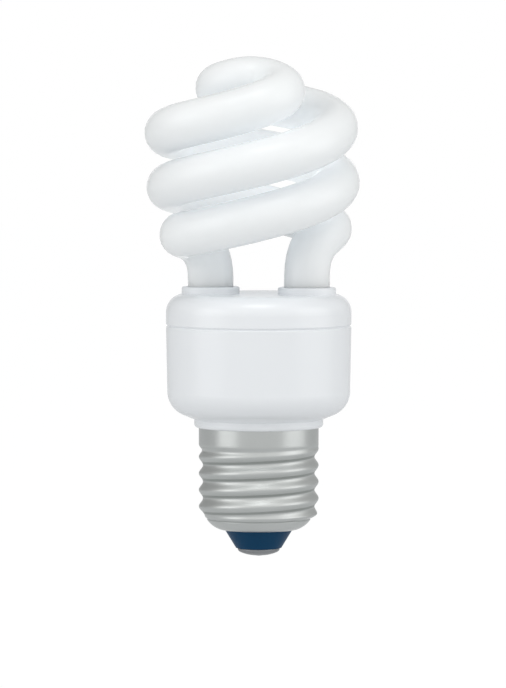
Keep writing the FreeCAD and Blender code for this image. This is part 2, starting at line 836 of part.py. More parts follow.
def arc_from(start, direction, finish):
    chord = finish - start
    normal = direction.cross(chord)
    if normal.Length < 1e-7 * chord.Length:
        return Part.LineSegment(start, finish).toShape()
    inward = normal.cross(direction).normalize()
    radius = chord.dot(chord) / (2 * chord.dot(inward))
    centre = start + inward * radius
    halfway = centre + ((start + finish) * 0.5 - centre).normalize() * radius
    return Part.Arc(start, halfway, finish).toShape()


places = [heading(curve) for curve in strand_places()]
down = point(0, 0, -1)
places[0] = (places[0][0], down * -1)
places[-1] = (places[-1][0], down)
pinch_level = board_top + size.pinch_clearance
leg_drop = down * (plate_level + size.leg_straight - pinch_level - size.pinch_height).value
edges = [Part.LineSegment(places[0][0] + leg_drop, places[0][0]).toShape()]
for (start, start_heading), (finish, finish_heading) in zip(places, places[1:]):
    edges += touching_arcs(start, start_heading, finish, finish_heading)
edges.append(Part.LineSegment(places[-1][0], places[-1][0] + leg_drop).toShape())
centreline = Part.Wire(edges)
tube = round_bar(centreline, size.tube_radius.value)


def pinch(side):
    """The flattened glass at the end of a leg, which seals it round two wires."""
    x, y = side * leg_across.value, -side * size.leg_along.value
    round_end = Part.Circle(point(x, y, pinch_level.value + size.pinch_height.value), point(0, 0, 1),
                            size.tube_radius.value)
    flat_end = Part.Ellipse(point(x, y, pinch_level.value), size.pinch_width.value / 2,
                            size.pinch_thickness.value / 2)
    flat_end.rotate(FreeCAD.Placement(point(0, 0, 0), FreeCAD.Rotation(point(0, 0, 1), 90), point(x, y, 0)))
    wires = [Part.Wire([round_end.toShape()]), Part.Wire([flat_end.toShape()])]
    return Part.makeLoft(wires, True, True)


sub_part(shaped("SpiralTube", tube.fuse([pinch(-1), pinch(1)])), "spiral_tube")


# Circuit board. What is mounted on it is drilled for as it is placed.

drill_places = []
CORNER_REACH = math.sqrt(0.5)  # from the centre of a square to its corner, in widths


def drill(x, y, radius):
    drill_places.append((x, y, radius + size.drill_clearance))


def mounted(label, x, y):
    """A body that hangs from the board's underside, which is its own level zero."""
    return put(body_of(label), x, y, board_level)


def leads(body, x, y, offsets):
    """Round wires from a piece up through the board."""
    drawn = sketch(body, "LeadPlan", "XY_Plane")
    for dx, dy in offsets:
        circle(drawn, dx, dy, size.lead_radius)
        drill(x + dx, y + dy, size.lead_radius)
    return pad(body, "Leads", drawn, size.board_thickness + size.solder_tail)


def storage_capacitor():
    x, y = -fitted.storage_offset, ZERO
    body = mounted("electrolytic_capacitor", x, y)
    radius, height = fitted.storage_radius, fitted.storage_height
    bead = fitted.storage_bead_depth
    edge = bead
    turned(body, "Can", [
        (ZERO, ZERO),
        (radius - edge, ZERO),
        (radius, -edge),
        (radius, -2 * edge),
        (radius - bead, -3 * edge),
        (radius, -4 * edge),
        (radius, edge - height),
        (radius - edge, -height),
        (ZERO, -height),
    ])
    half = fitted.storage_lead_pitch / 2
    leads(body, x, y, [(ZERO, -half), (ZERO, half)])


def choke():
    x = fitted.choke_offset
    height = fitted.choke_bobbin_height
    middle = -height / 2
    window_width = (fitted.choke_width - fitted.choke_centre_leg) / 2 - fitted.choke_leg_width
    window_depth = fitted.choke_depth - 2 * fitted.choke_leg_width

    core = mounted("choke_core", x, ZERO)
    plan = sketch(core, "CorePlan", "XY_Plane", lift=middle)
    rectangle(plan, ZERO, ZERO, fitted.choke_width, fitted.choke_depth)
    for side in (-1, 1):
        across = side * (fitted.choke_centre_leg + window_width) / 2
        rectangle(plan, across, ZERO, window_width, window_depth)
    pad(core, "Core", plan, fitted.choke_core_thickness, both_ways=True)

    bobbin = mounted("choke_bobbin", x, ZERO)
    gap, wall = size.winding_gap, fitted.choke_bobbin_wall
    hole_width = fitted.choke_centre_leg + 2 * gap
    hole_height = fitted.choke_core_thickness + 2 * gap
    tube_width, tube_height = hole_width + 2 * wall, hole_height + 2 * wall
    flange_width = fitted.choke_centre_leg + 2 * (window_width - gap)
    length = window_depth - 2 * gap
    section = sketch(bobbin, "TubeSection", "XZ_Plane")
    rectangle(section, ZERO, middle, tube_width, tube_height)
    rectangle(section, ZERO, middle, hole_width, hole_height)
    pad(bobbin, "Tube", section, length, both_ways=True)
    for side, name in ((-1, "Front"), (1, "Back")):
        flange = sketch(bobbin, name + "FlangeSection", "XZ_Plane", lift=side * length / 2)
        rectangle(flange, ZERO, middle, flange_width, height)
        rectangle(flange, ZERO, middle, hole_width, hole_height)
        pad(bobbin, name + "Flange", flange, wall, down=side > 0)
    lead_along = (length - wall) / 2
    lead_across = flange_width / 2 - 2 * size.lead_radius
    corners = [(dx, dy) for dx in (-lead_across, lead_across) for dy in (-lead_along, lead_along)]
    leads(bobbin, x, ZERO, corners)

    winding = mounted("choke_winding", x, ZERO)
    coil = sketch(winding, "CoilSection", "XZ_Plane")
    inset = fitted.choke_winding_inset
    rectangle(coil, ZERO, middle, flange_width - inset, height - 2 * inset)
    rectangle(coil, ZERO, middle, tube_width, tube_height)
    coil_pad = pad(winding, "Coil", coil, length - 2 * wall, both_ways=True)

    def outer_corner(edge):
        box_of_edge = edge.BoundBox
        across = abs(edge.CenterOfMass.x) - (flange_width.value - inset.value) / 2
        return box_of_edge.YLength > 1 and abs(across) < 1e-3 and box_of_edge.ZLength < 1e-3

    rounded(winding, "CoilCorners", coil_pad, inset * 2, outer_corner)


def ring_transformer():
    x, y = fitted.ring_across, fitted.ring_along
    outer, inner, height = fitted.ring_outer_radius, fitted.ring_inner_radius, fitted.ring_height
    thick, gap = fitted.ring_winding_thickness, size.winding_gap
    top = -thick - gap
    core = mounted("ring_core", x, y)
    turned(core, "Ring", [(inner, top), (outer, top), (outer, top - height), (inner, top - height)])
    for number in range(3):
        label = f"ring_winding_{number + 1}"
        winding = body_of(label)
        put(winding, x, y, board_level, FreeCAD.Rotation(point(0, 0, 1), 120 * number + 30))
        low = top - height
        drawn = sketch(winding, "WindingSection", "XZ_Plane")
        outline(drawn, [(inner - gap - thick, ZERO), (outer + gap + thick, ZERO),
                        (outer + gap + thick, low - gap - thick), (inner - gap - thick, low - gap - thick)])
        outline(drawn, [(inner - gap, -thick), (outer + gap, -thick),
                        (outer + gap, low - gap), (inner - gap, low - gap)])
        feature = winding.newObject("PartDesign::Revolution", "Winding")
        feature.Profile = drawn
        feature.ReferenceAxis = (drawn, ["V_Axis"])
        bind(feature, Angle=fitted.ring_winding_sweep)
        doc.recompute()


def transistor(number, side):
    x, y = side * fitted.transistor_across, -fitted.transistor_along
    body = mounted(f"transistor_{number}", x, y)
    stand = fitted.transistor_stand
    plan = rectangle(sketch(body, "CasePlan", "XY_Plane", lift=-stand), ZERO, ZERO,
                     fitted.transistor_width, fitted.transistor_thickness)
    pad(body, "Case", plan, fitted.transistor_height, down=True)
    hole = sketch(body, "ScrewHolePlan", "XZ_Plane", lift=-fitted.transistor_thickness)
    circle(hole, ZERO, -stand - fitted.transistor_height + 2 * fitted.transistor_hole_radius,
           fitted.transistor_hole_radius)
    pocket(body, "ScrewHole", hole, 2 * fitted.transistor_thickness, upwards=True)
    legs = sketch(body, "LegPlan", "XY_Plane", lift=-stand)
    for step in (-1, 0, 1):
        across = step * fitted.transistor_lead_pitch
        rectangle(legs, across, ZERO, fitted.transistor_lead_width, fitted.transistor_lead_width)
        drill(x + across, y, fitted.transistor_lead_width * CORNER_REACH)
    pad(body, "Legs", legs, stand + size.board_thickness + size.solder_tail)


def film_capacitor(label, x, y, along_y=False):
    body = mounted(label, x, y)
    width, depth = fitted.film_width, fitted.film_thickness
    half = fitted.film_lead_pitch / 2
    offsets = [(-half, ZERO), (half, ZERO)]
    if along_y:
        width, depth = depth, width
        offsets = [(ZERO, -half), (ZERO, half)]
    plan = rectangle(sketch(body, "CasePlan", "XY_Plane"), ZERO, ZERO, width, depth)
    case = pad(body, "Case", plan, fitted.film_height, down=True)
    rounded(body, "CaseEdges", case, fitted.film_round, lambda edge: edge.BoundBox.ZMin < -0.01)
    leads(body, x, y, offsets)


def upright_axial(label, x, y, radius, length, turn=0):
    """A small part that stands on end below the board. One wire is bent back up beside it."""
    stand = fitted.axial_stand
    wire = size.lead_radius
    spread = fitted.axial_spread
    top = board_top + size.solder_tail
    low = board_level - stand - length
    dx = spread * round(math.cos(math.radians(turn)))
    dy = spread * round(math.sin(math.radians(turn)))
    case = cylinder(radius, length, x, y, low)
    near = cylinder(wire, top - low - length, x, y, low + length)
    bend_level = low - stand / 2
    stub = cylinder(wire, low - bend_level, x, y, bend_level)
    far = cylinder(wire, top - bend_level, x + dx, y + dy, bend_level)
    bend = bind(doc.addObject("Part::Torus", "Bend"), Radius1=spread / 2, Radius2=wire)
    bend.Angle3 = 180
    facing = FreeCAD.Rotation(point(0, 0, 1), turn).multiply(FreeCAD.Rotation(point(1, 0, 0), -90))
    put(bend, x + dx / 2, y + dy / 2, bend_level, facing)
    drill(x, y, wire)
    drill(x + dx, y + dy, wire)
    sub_part(joined(label.title().replace("_", ""), [case, near, stub, far, bend]), label)


def lying_axial(label, x, y, radius, length):
    """A small part that lies along X under the board, with both wires bent up through it."""
    wire = size.lead_radius
    stand = fitted.axial_stand
    level = board_level - radius
    half = length / 2 + stand
    top = board_top + size.solder_tail
    pieces = [cylinder(radius, length, x - length / 2, y, level, ABOUT_Y)]
    for side in (-1, 1):
        corner = x + side * half
        start = x - half if side < 0 else x + length / 2
        pieces.append(cylinder(wire, stand, start, y, level, ABOUT_Y))
        pieces.append(cylinder(wire, top - level, corner, y, level))
        knee = bind(doc.addObject("Part::Sphere", "Knee"), Radius=wire)
        pieces.append(put(knee, corner, y, level))
        drill(corner, y, wire)
    sub_part(joined(label.title().replace("_", ""), pieces), label)


def filter_inductor():
    x, y = fitted.filter_across, fitted.filter_along
    radius, waist = fitted.filter_radius, fitted.filter_waist_radius
    flange, height = fitted.filter_flange, fitted.filter_height
    spool = mounted("filter_core", x, y)
    turned(spool, "Spool", [
        (ZERO, ZERO), (radius, ZERO), (radius, -flange), (waist, -flange),
        (waist, flange - height), (radius, flange - height), (radius, -height), (ZERO, -height),
    ])
    half = fitted.filter_lead_pitch / 2
    leads(spool, x, y, [(-half, ZERO), (half, ZERO)])
    coil = mounted("filter_winding", x, y)
    full = radius - fitted.choke_winding_inset
    turned(coil, "Coil", [
        (waist, -flange), (full, -flange), (full, flange - height), (waist, flange - height),
    ])


storage_capacitor()
choke()
ring_transformer()
transistor(1, -1)
transistor(2, 1)
film_capacitor("resonant_capacitor", fitted.resonant_across, fitted.resonant_along)
film_capacitor("coupling_capacitor", fitted.coupling_across, fitted.coupling_along, along_y=True)
filter_inductor()

diode_row = fitted.transistor_along + fitted.transistor_thickness / 2 + fitted.diode_radius + size.part_gap
diode_step = fitted.diode_radius + fitted.axial_spread + size.lead_radius + size.part_gap
for number, place in enumerate((-1.5, -0.5, 0.5, 1.5), start=1):
    upright_axial(f"rectifier_diode_{number}", diode_step * place, -diode_row, fitted.diode_radius,
                  fitted.diode_length, turn=0)
resistor_row = (fitted.transistor_along - fitted.transistor_thickness / 2 - fitted.resistor_radius
                - size.part_gap)
for number, side in ((1, -1), (2, 1)):
    lying_axial(f"base_resistor_{number}", side * fitted.transistor_across, -resistor_row,
                fitted.resistor_radius, fitted.resistor_length)

for number, side in ((1, -1), (2, 1)):
    upright_axial(f"emitter_resistor_{number}", side * fitted.emitter_across, -fitted.emitter_along,
                  fitted.resistor_radius, fitted.resistor_length, turn=90)
upright_axial("start_resistor", -fitted.start_across, fitted.start_along, fitted.resistor_radius,
              fitted.resistor_length, turn=90)
upright_axial("trigger_diac", -fitted.diac_across, fitted.diac_along, fitted.diac_radius, fitted.diac_length,
              turn=180)

# Pins and filament wires on the upper side of the board

for across_side, word in LEGS:
    for along_side, end in ((-1, "front"), (1, "back")):
        x = across_side * fitted.pin_offset_across
        y = along_side * fitted.pin_offset_along
        pin = box(size.pin_width, size.pin_width, size.board_thickness + size.pin_height, x, y, board_level)
        sub_part(pin, f"wrap_pin_{word}_{end}")
        drill(x, y, size.pin_width * CORNER_REACH)
        wire = size.filament_wire_radius.value
        level = board_top.value + size.filament_level.value
        wrap_inner = size.pin_width.value * CORNER_REACH + size.winding_gap.value / 2
        wrap_outer = wrap_inner + size.wrap_wall.value
        pin_centre = point(x.value, y.value, level)
        exit_along = along_side * size.filament_spread / 2 - across_side * size.leg_along
        exit_place = point(across_side * leg_across.value, exit_along.value, pinch_level.value)
        knee = point(exit_place.x, exit_place.y, level)
        toward = (pin_centre - knee).normalize()
        landing = pin_centre - toward * (wrap_inner + size.wrap_wall.value / 2)
        run = round_bar(bent_path([exit_place, knee, landing], size.filament_wire_radius.value * 3), wire)
        bottom = pin_centre - point(0, 0, size.wrap_height.value / 2)
        wrap = Part.makeCylinder(wrap_outer, size.wrap_height.value, bottom)
        run = run.fuse(wrap)
        core = Part.makeCylinder(wrap_inner, size.wrap_height.value * 2, bottom - point(0, 0, wire * 2))
        sub_part(shaped("FilamentWire", run.cut(core)), f"filament_wire_{word}_{end}")

# Supply wires: one through the fusible resistor to the centre contact, one folded over the spigot's edge

wire = size.supply_wire_radius.value
supply_x, supply_y = fitted.supply_across, fitted.supply_along
drill(supply_x, supply_y, size.supply_wire_radius)
drill(supply_x, -supply_y, size.supply_wire_radius)
wire_top = board_top.value + size.solder_tail.value
plug_top = shell_level + size.insulator_plug_height
fuse_low = ((plug_top + spigot_level - size.fuse_length) / 2).value
fuse_high = fuse_low + size.fuse_length.value
solder_top = size.contact_height.value + size.solder_length.value
lower_run = Part.makeCylinder(wire, fuse_low - solder_top, point(0, 0, solder_top))
fuse_case = Part.makeCylinder(size.fuse_radius.value, size.fuse_length.value, point(0, 0, fuse_low))
climb = spigot_level.value - fuse_high
upper_run = round_bar(bent_path([
    point(0, 0, fuse_high),
    point(0, 0, fuse_high + climb / 2),
    point(supply_x.value, supply_y.value, spigot_level.value + climb / 2),
    point(supply_x.value, supply_y.value, wire_top),
], size.supply_wire_bend.value), wire)
sub_part(shaped("FusibleResistor", fuse_case.fuse([lower_run, upper_run])), "fusible_resistor")

fold_inner = spigot_inner.value - wire - size.spigot_clearance.value * 2
fold_outer = (size.thread_crest_radius - size.shell_wall).value - wire - size.spigot_clearance.value / 2
fold_bend = (fold_outer - fold_inner) / 2
fold_low = spigot_level.value - wire - fold_bend / 2
outward = FreeCAD.Rotation(point(0, 0, 1), fold_angle).multVec(point(1, 0, 0))
inner_run, outer_run = outward * fold_inner, outward * fold_outer
sub_part(shaped("NeutralWire", round_bar(bent_path([
    point(supply_x.value, -supply_y.value, wire_top),
    point(supply_x.value, -supply_y.value, inner_neck_level.value),
    inner_run + point(0, 0, neck_level.value),
    inner_run + point(0, 0, fold_low),
    outer_run + point(0, 0, fold_low),
    outer_run + point(0, 0, spigot_level.value + size.wire_slot_height.value - size.fit_clearance.value * 2),
], fold_bend * 0.99), wire)), "neutral_wire")

board = body_of("circuit_board")
board_plan = sketch(board, "BoardPlan", "XY_Plane", lift=board_level)
pad(board, "Board", circle(board_plan, ZERO, ZERO, board_radius), size.board_thickness)
drill_plan = sketch(board, "DrillPlan", "XY_Plane", lift=board_top)
for x, y, radius in drill_places:
    circle(drill_plan, x, y, radius)
pocket(board, "Drillings", drill_plan, size.board_thickness + 1)


# The finished document

doc.recompute()
failed = [thing.Name for thing in doc.Objects if {"Invalid", "Error"} & set(thing.State)]
if failed:
    raise RuntimeError(f"failed features: {failed}")
for part in parts:
    shape = part.Shape
    if shape.isNull() or not shape.isValid():
        raise RuntimeError(f"{part.Label} has no valid shape")
os.makedirs("parts", exist_ok=True)
for part in parts:
    part.Shape.exportStep(f"parts/{part.Label}.step")
    print(part.Label, len(part.Shape.Solids), round(part.Shape.Volume, 2))
print("centreline", round(centreline.Length, 1), "tube", round(tube.Volume, 1),
      "section by length", round(math.pi * size.tube_radius.value ** 2 * centreline.Length, 1))
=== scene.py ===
# %% [markdown]
# # A spiral fluorescent lamp
# The lamp stands on its screw cap. Above the cap is a round plastic housing, and above that one glass tube,
# bent into two strands that climb round each other and meet in a bridge at the top.
# The solid model gives every piece its place. This file gives each one its finish, and models the three that
# need a finer surface than a solid has. These are the glass tube, whose highlights run along it unbroken, the
# thin metal shell of the cap with its rolled thread, and the pressed contact at its tip.

# %% Load the solid model
import json
import math

import bmesh
import bpy
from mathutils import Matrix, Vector


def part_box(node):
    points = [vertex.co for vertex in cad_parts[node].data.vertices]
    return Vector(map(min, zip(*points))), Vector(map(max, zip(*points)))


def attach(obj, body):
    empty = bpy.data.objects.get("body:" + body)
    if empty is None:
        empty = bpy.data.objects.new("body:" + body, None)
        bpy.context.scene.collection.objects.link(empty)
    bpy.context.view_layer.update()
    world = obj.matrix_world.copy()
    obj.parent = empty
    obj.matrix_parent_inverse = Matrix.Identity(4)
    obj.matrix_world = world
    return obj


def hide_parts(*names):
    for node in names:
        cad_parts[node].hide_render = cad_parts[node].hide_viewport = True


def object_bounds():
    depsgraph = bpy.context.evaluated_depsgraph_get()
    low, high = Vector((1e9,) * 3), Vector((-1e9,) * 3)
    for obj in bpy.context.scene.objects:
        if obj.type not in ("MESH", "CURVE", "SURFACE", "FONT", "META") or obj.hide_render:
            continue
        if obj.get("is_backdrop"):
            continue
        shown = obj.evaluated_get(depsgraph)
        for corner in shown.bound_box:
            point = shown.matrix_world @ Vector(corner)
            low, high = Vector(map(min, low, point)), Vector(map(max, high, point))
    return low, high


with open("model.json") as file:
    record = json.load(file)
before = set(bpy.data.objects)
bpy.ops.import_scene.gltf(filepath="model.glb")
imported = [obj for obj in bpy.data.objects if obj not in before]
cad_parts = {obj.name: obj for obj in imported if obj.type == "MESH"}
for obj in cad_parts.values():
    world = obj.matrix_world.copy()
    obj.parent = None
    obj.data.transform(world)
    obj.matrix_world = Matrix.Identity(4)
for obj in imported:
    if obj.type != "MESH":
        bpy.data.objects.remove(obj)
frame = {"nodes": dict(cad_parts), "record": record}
nodes = frame["nodes"]
cad_box = [list(corner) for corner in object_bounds()]
print("solid model", [[round(value, 4) for value in corner] for corner in cad_box])

# %% [markdown]
# ## The camera
# A photograph is matched before anything is modelled, because each later choice is judged through it. The
# lens is long and stands a little above the middle of the lamp, so its rings show as thin ellipses. The scale
# comes from the cap, whose thread has a standard diameter, and the distance from how fast those ellipses
# change up the lamp.

# %% Place the camera
MM = 0.001
FRAME_WIDTH = 506
FRAME_HEIGHT = 688
PIXELS_PER_MM = 4.58
AXIS_COLUMN = 258.7
TIP_ROW = 556.5
EYE_DISTANCE = 1.04
EYE_LIFT = math.radians(3.3)
SENSOR = 36.0
FARTHEST_SEEN = 20

aim = Vector(((FRAME_WIDTH / 2 - AXIS_COLUMN) / PIXELS_PER_MM * MM, 0,
              (TIP_ROW - FRAME_HEIGHT / 2) / PIXELS_PER_MM * MM))
away = Vector((0, -math.cos(EYE_LIFT), math.sin(EYE_LIFT)))
bpy.ops.object.camera_add(location=aim + away * EYE_DISTANCE, rotation=(math.pi / 2 - EYE_LIFT, 0, 0))
camera = bpy.context.object
camera.data.sensor_fit = "VERTICAL"
camera.data.sensor_height = SENSOR
camera.data.lens = SENSOR * EYE_DISTANCE / (FRAME_HEIGHT / PIXELS_PER_MM * MM)
camera.data.clip_end = FARTHEST_SEEN
bpy.context.scene.camera = camera
bpy.context.scene.view_settings.view_transform = "Standard"
print("lens", round(camera.data.lens, 1), "mm")

# %% [markdown]
# ## Shader sums as Python
# A procedural finish is mostly arithmetic on patterns. Wrapping a socket in a small class lets that
# arithmetic be written as it is in any program, and each operator adds the Math node that does it.


# %% Sockets that take part in sums
class Value:
    """A socket of a graph that takes part in sums as a number does."""

    def __init__(self, graph, socket):
        self.graph = graph
        self.socket = socket

    def __add__(self, other):
        return self.graph.maths("ADD", self, other)

    def __radd__(self, other):
        return self.graph.maths("ADD", other, self)

    def __sub__(self, other):
        return self.graph.maths("SUBTRACT", self, other)

    def __rsub__(self, other):
        return self.graph.maths("SUBTRACT", other, self)

    def __mul__(self, other):
        return self.graph.maths("MULTIPLY", self, other)

    def __rmul__(self, other):
        return self.graph.maths("MULTIPLY", other, self)


# %% [markdown]
# All other nodes come from one method too. It takes the node's type, its settings and what goes into its
# sockets. The methods after it only save words where a node is used often. The last of them belongs to the
# studio: the camera sees a plain white background, and a mirror-like surface should show the same white, but
# only where it lies behind the lamp.


# %% A node tree
class Graph:
    """A node tree and the few ways in which this file adds nodes to it."""

    def __init__(self, tree):
        self.tree = tree

    def join(self, socket, value):
        """Sets a socket to a number or a colour, or links it to a value."""
        if isinstance(value, Value):
            self.tree.links.new(value.socket, socket)
        else:
            socket.default_value = value

    def node(self, kind, settings=None, inputs=None, output=0):
        """Adds any node. Its settings come first, because they decide which sockets it has."""
        node = self.tree.nodes.new("ShaderNode" + kind)
        for name, value in (settings or {}).items():
            setattr(node, name, value)
        for name, value in (inputs or {}).items():
            self.join(node.inputs[name], value)
        return Value(self, node.outputs[output])

    def maths(self, operation, *values):
        """Works on one or two numbers."""
        return self.node("Math", {"operation": operation}, dict(enumerate(values)))

    def mix(self, share, first, second):
        """A colour between two, by a share from 0 to 1."""
        return self.node("Mix", {"data_type": "RGBA"}, {0: share, 6: first, 7: second}, 2)

    def ease(self, value, start, finish, low=0.0, high=1.0):
        """Goes smoothly from low to high while the value goes from start to finish."""
        return self.node("MapRange", {"interpolation_type": "SMOOTHSTEP"},
                         {"Value": value, "From Min": start, "From Max": finish, "To Min": low,
                          "To Max": high})

    def split(self, vector):
        """The three numbers of a vector."""
        parts = self.node("SeparateXYZ", {}, {"Vector": vector}).socket.node.outputs
        return [Value(self, part) for part in parts]

    def background(self, behind):
        """Where the white background shows: to the camera all over, to metal and glass behind the lamp."""
        camera_ray, glossy_ray, clear_ray = (self.node("LightPath", output=f"Is {kind} Ray")
                                             for kind in ("Camera", "Glossy", "Transmission"))
        return self.maths("MAXIMUM", camera_ray, self.maths("MAXIMUM", glossy_ray, clear_ray) * behind)


# %% [markdown]
# A finish is a material with its shader. Its patterns are laid on by the place on the piece, in metres, so a
# grain has its real size on every piece and stays where it is when the piece is turned.


# %% A material
class Finish(Graph):
    """A material, its shader, and the patterns that a finish is made from."""

    def __init__(self, name, **uniform):
        self.name = name
        self.material = bpy.data.materials.new(name)
        self.material.use_nodes = True
        super().__init__(self.material.node_tree)
        self.shader = self.tree.nodes["Principled BSDF"]
        for socket, value in uniform.items():
            self.set(socket.replace("_", " "), value)

    def set(self, socket, value):
        """Sets one input of the shader."""
        self.join(self.shader.inputs[socket], value)

    def place(self, scale=(1, 1, 1)):
        """The point on the piece, in metres, stretched by a scale along each axis."""
        point = self.node("TexCoord", output="Object")
        return self.node("Mapping", {}, {"Vector": point, "Scale": scale})

    def noise(self, per_metre, detail=2.0, rough=0.5, scale=(1, 1, 1)):
        """Soft random patches from 0 to 1, with so many in a metre."""
        return self.node("TexNoise", {}, {"Vector": self.place(scale), "Scale": per_metre, "Detail": detail,
                                          "Roughness": rough}, "Fac")

    def blend(self, share, first, second):
        """A colour between two plain ones, by a share from 0 to 1."""
        return self.mix(share, (*first, 1.0), (*second, 1.0))

    def bump(self, height, depth, strength=1.0):
        """Raises the surface by a height from 0 to 1, over a depth in metres."""
        self.set("Normal", self.node("Bump", {}, {"Strength": strength, "Distance": depth, "Height": height},
                                     "Normal"))

    def tell(self):
        """Prints how many nodes the finish took."""
        print(self.name, len(self.tree.nodes), "nodes")


# %% [markdown]
# ## The white glass
# The tube is clear glass, coated inside with a fine white powder. The eye sees the powder, matt and very
# slightly uneven, through a smooth outer surface that gives the long soft highlights. Light also passes
# through the powder and spreads in the tube, so its shaded sides stay light: that is the scattering below the
# surface.
# Inside the coil light goes from turn to turn more often than a render follows it. A faint glow stands in for
# the rest. It is full on the turns' inner sides and fades out towards their outer sides, the open bridge on
# top and the legs. Each fade is a pair of places: where the glow is nothing, and where it is full.

# %% Lamp glass
POWDER_SHADE = (0.880, 0.920, 0.957)
POWDER_LIGHT = (0.900, 0.936, 0.970)
SCATTER_REACH = 8 * MM
GLOW_STRENGTH = 0.17
GLOW_COLOUR = (1.0, 0.99, 0.98)
NO_GLOW = (0, 0, 0)
GLOW_INWARDS = (22.0 * MM, 14.5 * MM)
GLOW_BELOW_BRIDGE = (99 * MM, 93 * MM)
GLOW_ABOVE_LEGS = (70 * MM, 80 * MM)

lamp_glass = Finish("lamp_glass", IOR=1.5, Subsurface_Weight=1.0, Subsurface_Radius=(1.0, 1.0, 1.0),
                    Subsurface_Scale=SCATTER_REACH, Emission_Strength=GLOW_STRENGTH)
powder = lamp_glass.noise(per_metre=90, detail=3.0)
lamp_glass.set("Base Color", lamp_glass.blend(powder, POWDER_SHADE, POWDER_LIGHT))
lamp_glass.set("Roughness", 0.20 + 0.08 * lamp_glass.noise(per_metre=400))
from_axis = lamp_glass.node("VectorMath", {"operation": "LENGTH"}, {0: lamp_glass.place((1, 1, 0))}, "Value")
level = lamp_glass.split(lamp_glass.place())[2]
inside = (lamp_glass.ease(from_axis, *GLOW_INWARDS) * lamp_glass.ease(level, *GLOW_BELOW_BRIDGE)
          * lamp_glass.ease(level, *GLOW_ABOVE_LEGS))
lamp_glass.set("Emission Color", lamp_glass.blend(inside, NO_GLOW, GLOW_COLOUR))
lamp_glass.tell()

# %% [markdown]
# ## Moulded plastic
# The housing and its cover come from a polished mould that has gone slightly dull with use, so their surface
# is satin with a very fine, shallow grain, and a faint unevenness where the plastic shrank over the ribs.

# %% Housing plastic
PLASTIC_SHADE = (0.856, 0.880, 0.902)
PLASTIC_LIGHT = (0.880, 0.903, 0.921)

housing_plastic = Finish("housing_plastic", IOR=1.5, Specular_IOR_Level=1.0)
flow = housing_plastic.noise(per_metre=35)
housing_plastic.set("Base Color", housing_plastic.blend(flow, PLASTIC_SHADE, PLASTIC_LIGHT))
housing_plastic.set("Roughness", 0.23 + 0.06 * flow)
grain = housing_plastic.noise(per_metre=2600, detail=1.0)
housing_plastic.bump(grain, depth=0.01 * MM, strength=0.35)
housing_plastic.tell()

# %% [markdown]
# ## Rolled metal
# The cap's shell is thin aluminium, drawn and then rolled, so its fine marks run round it. They show less as
# lines than as a highlight that is smeared up and down. Noise squeezed along Z gives such marks, since one
# patch of it then runs a long way round the shell before it rises. The thread is duller than the plain band
# above it, because the rollers only touch the thread.
# Painted shade follows the thread: a thin darker line, shade painted into the colour, runs a little above its
# root, and another in the groove under it. Where a point lies in the thread is its height less the height
# that the thread has climbed at that side of the cap, so the finish and the shell are given the same pitch
# and the same start.

# %% The thread's place, in millimetres
THREAD_PITCH = 3.629
THREAD_TURN = math.radians(103.4)
THREAD_FROM = 8.1
BAND_FROM = 24.6
GROOVE_LEVEL = 8.25

# %% Cap metal
METAL_SHADE = (0.560, 0.578, 0.566)
METAL_LIGHT = (0.638, 0.656, 0.644)
# The darker colour below is painted shade, for the lines along the thread's root and in its groove.
METAL_PAINTED_SHADE = (0.39, 0.41, 0.395, 1.0)
SHADE_LINE_ABOVE_ROOT = math.radians(48)
SHADE_LINE_IN_PHASE = (-0.78, -0.97)
PAINTED_SHADE_IN_GROOVE = 0.6
GROOVE_LINE = (0.28 * MM, 0.08 * MM)
THREAD_STARTS = ((THREAD_FROM + 0.5) * MM, (THREAD_FROM + 1.5) * MM)
THREAD_STOPS = (BAND_FROM * MM, (BAND_FROM - 1.2) * MM)

cap_metal = Finish("cap_metal", Metallic=1.0)
rolling = cap_metal.noise(per_metre=300, detail=4.0, rough=0.6, scale=(1, 1, 22))
stain = cap_metal.noise(per_metre=120)
east, north, level = cap_metal.split(cap_metal.place())
start = THREAD_TURN - 2 * math.pi * BAND_FROM / THREAD_PITCH - SHADE_LINE_ABOVE_ROOT
turned = level * (2 * math.pi / THREAD_PITCH / MM) - cap_metal.maths("ARCTAN2", north, east) + start
phase = cap_metal.maths("COSINE", turned)
on_thread = cap_metal.ease(level, *THREAD_STARTS) * cap_metal.ease(level, *THREAD_STOPS)
from_groove = cap_metal.maths("ABSOLUTE", level - GROOVE_LEVEL * MM)
# Painted shade: a darker line above the thread's root and one in the groove, mixed into the colour.
painted_shade = (cap_metal.ease(phase, *SHADE_LINE_IN_PHASE) * on_thread
         + PAINTED_SHADE_IN_GROOVE * cap_metal.ease(from_groove, *GROOVE_LINE))
bright = cap_metal.blend(stain, METAL_SHADE, METAL_LIGHT)
cap_metal.set("Base Color", cap_metal.mix(painted_shade, bright, METAL_PAINTED_SHADE))
cap_metal.set("Roughness", 0.24 + 0.13 * on_thread + 0.12 * rolling)
cap_metal.bump(rolling, depth=0.04 * MM, strength=0.25)
cap_metal.tell()

# %% [markdown]
# ## Pressed glass
# Dark blue glass fills the bottom of the cap and carries the contact. It is pressed while hot, so it is
# smooth but not polished, and its colour swirls a little.

# %% Cap insulator
INSULATOR_SHADE = (0.0030, 0.042, 0.102)
INSULATOR_LIGHT = (0.0042, 0.048, 0.112)

cap_insulator = Finish("cap_insulator", IOR=1.5, Roughness=0.38, Specular_IOR_Level=0.1)
swirl = cap_insulator.noise(per_metre=220, detail=3.0)
cap_insulator.set("Base Color", cap_insulator.blend(swirl, INSULATOR_SHADE, INSULATOR_LIGHT))
cap_insulator.bump(cap_insulator.noise(per_metre=700), depth=0.03 * MM, strength=0.3)
cap_insulator.tell()

# %% [markdown]
# ## Contact, solder and the pieces inside
# The contact is a thin plated dome, worn by lamp holders' springs, with a bead of dull solder in its hole.
# Each is one uneven pattern that moves the colour, the gloss and the height together. So is nearly every
# piece inside the housing, and one function makes them all.


